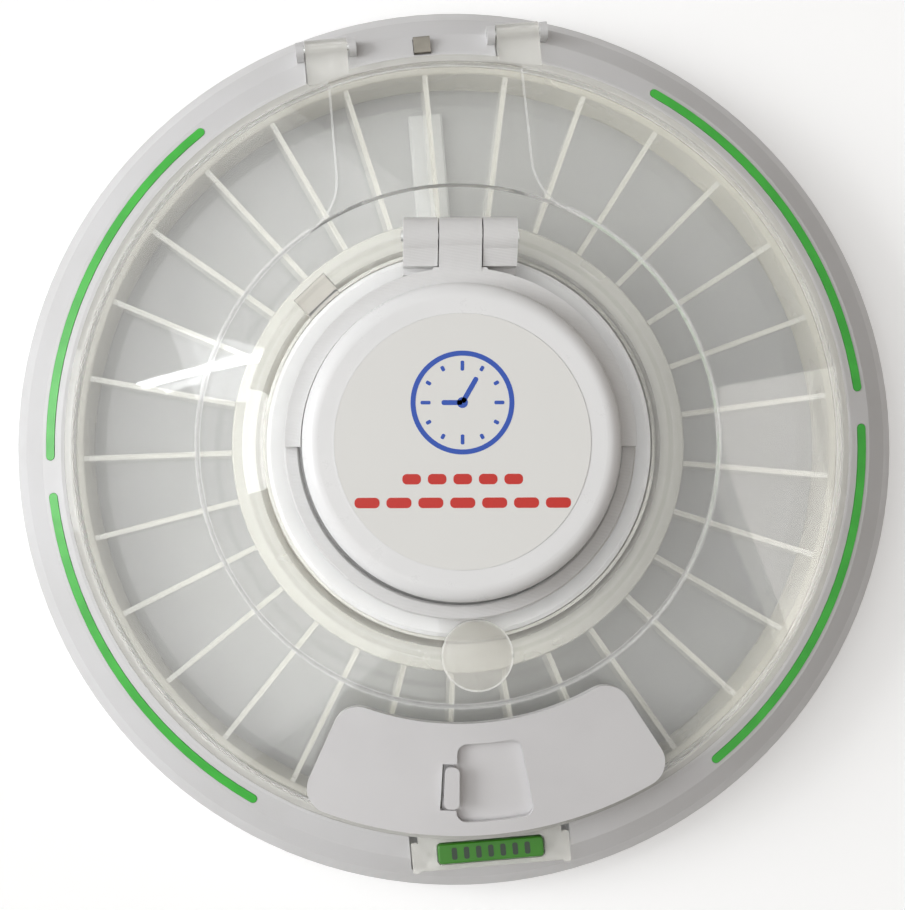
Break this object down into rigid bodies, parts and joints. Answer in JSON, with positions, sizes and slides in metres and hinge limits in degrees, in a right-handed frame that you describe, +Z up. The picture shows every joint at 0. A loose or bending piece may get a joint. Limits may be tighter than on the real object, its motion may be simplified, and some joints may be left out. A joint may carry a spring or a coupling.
{
  "type": "automatic pill dispenser",
  "caption": "Round carousel pill box with clear hinged lid, dose shutter, latch button, hinged hub cap and motor-driven compartment tray.",
  "frame": {"origin": "on the table under the middle of the four feet", "axes": "+Z up, +Y to the back where the lid is hinged, -Y to the front with the latch and the dose window"},
  "size_m": [0.215, 0.215, 0.0527],
  "materials": {
    "white_shell": "moulded, soft gloss",
    "white_plate": "moulded, soft gloss",
    "white_print": "printed in layers, satin",
    "white_cap": "satin",
    "label_film": "satin film with a printed dial",
    "clear_lid": "clear polycarbonate, polished",
    "clear_lens": "polished",
    "clear_tray": "clear moulded, faintly yellow",
    "frosted_collar": "translucent cream",
    "cream_gear": "moulded, satin",
    "green_light": "diffusing light bar",
    "green_button": "moulded, gloss",
    "circuit_board": "solder mask",
    "spring_steel": "brushed",
    "pin_steel": "drawn",
    "screw_steel": "zinc plated",
    "cell_steel": "nickel plated",
    "motor_can": "zinc plated",
    "battery_wrap": "film sleeve",
    "black_plastic": "moulded",
    "display_glass": "liquid crystal glass",
    "grey_keys": "satin",
    "foot_rubber": "matt",
    "wire_cover": "flexible cover"
  },
  "bodies": {
    "base": {"outer_bezel": "white_shell", "light_bar_rear_left": "green_light", "light_bar_front_left": "green_light", "light_bar_rear_right": "green_light", "light_bar_front_right": "green_light", "led_boards": "circuit_board", "lid_sensor_blade": "spring_steel", "lid_hinge_pins": "pin_steel", "well_floor": "white_shell", "wire_duct": "white_shell", "duct_wires": "wire_cover", "bottom_cover": "white_shell", "feet": "foot_rubber", "housing_screws": "screw_steel", "hub_tower": "white_shell", "display_window": "clear_lens", "main_board": "circuit_board", "board_screws": "screw_steel", "display_module": "display_glass", "tact_switches": "black_plastic", "buzzer": "black_plastic", "gear_motor": "motor_can", "motor_screws": "screw_steel", "battery_box": "white_shell", "batteries": "battery_wrap", "battery_contacts": "spring_steel"},
    "lid": {"lid_shell": "clear_lid", "reading_lens": "clear_lens", "dose_window_plate": "white_plate", "cap_mount_ring": "white_print", "cap_hinge_pin": "pin_steel"},
    "shutter": {"dose_shutter": "white_plate"},
    "cap": {"cap_yoke": "white_print", "cap_base": "white_print", "cap_shell": "white_cap", "cap_label": "label_film", "tag_board": "circuit_board", "coin_cell": "cell_steel"},
    "carousel": {"tray_floor": "clear_tray", "tray_rim": "clear_tray", "tray_collar": "frosted_collar", "tray_dividers": "clear_tray", "drive_ring": "cream_gear"},
    "pinion": {"drive_pinion": "cream_gear", "motor_shaft": "pin_steel"},
    "latch": {"latch_button": "green_button", "latch_catch": "white_shell"},
    "set_key": {"set_button": "grey_keys"},
    "down_key": {"down_button": "grey_keys"},
    "up_key": {"up_button": "grey_keys"},
    "door": {"battery_door": "white_shell"}
  },
  "joints": [
    {"name": "lid_hinge", "type": "hinge", "parent": "base", "child": "lid", "pos_m": [0, 0.0972, 0.0246], "axis": [-1, 0, 0], "range_deg": [0, 80]},
    {"name": "shutter_swing", "type": "hinge", "parent": "lid", "child": "shutter", "pos_m": [0, 0, 0.03], "axis": [0, 0, 1], "range_deg": [0, 11.5]},
    {"name": "cap_hinge", "type": "hinge", "parent": "lid", "child": "cap", "pos_m": [0.00388, 0.04664, 0.0435], "axis": [-0.9966, 0.0828, 0], "range_deg": [0, 105]},
    {"name": "carousel_spin", "type": "hinge", "parent": "base", "child": "carousel", "pos_m": [0, 0, 0.01], "axis": [0, 0, 1], "continuous": true},
    {"name": "pinion_spin", "type": "hinge", "parent": "base", "child": "pinion", "pos_m": [0, -0.035, 0.01], "axis": [0, 0, 1], "continuous": true},
    {"name": "latch_press", "type": "slide", "parent": "base", "child": "latch", "axis": [0, 0, -1], "range_m": [0, 0.0015], "stiffness_N_per_m": 800, "springref_m": -0.0005},
    {"name": "set_press", "type": "slide", "parent": "base", "child": "set_key", "axis": [0, 0, -1], "range_m": [0, 0.0008], "stiffness_N_per_m": 500, "springref_m": -0.0005},
    {"name": "down_press", "type": "slide", "parent": "base", "child": "down_key", "axis": [0, 0, -1], "range_m": [0, 0.0008], "stiffness_N_per_m": 500, "springref_m": -0.0005},
    {"name": "up_press", "type": "slide", "parent": "base", "child": "up_key", "axis": [0, 0, -1], "range_m": [0, 0.0008], "stiffness_N_per_m": 500, "springref_m": -0.0005},
    {"name": "battery_door_pull", "type": "slide", "parent": "base", "child": "door", "axis": [0, 0, -1], "range_m": [0, 0.015]}
  ],
  "couplings": [
    {"joint": "pinion_spin", "follows": "carousel_spin", "ratio": 6}
  ]
}
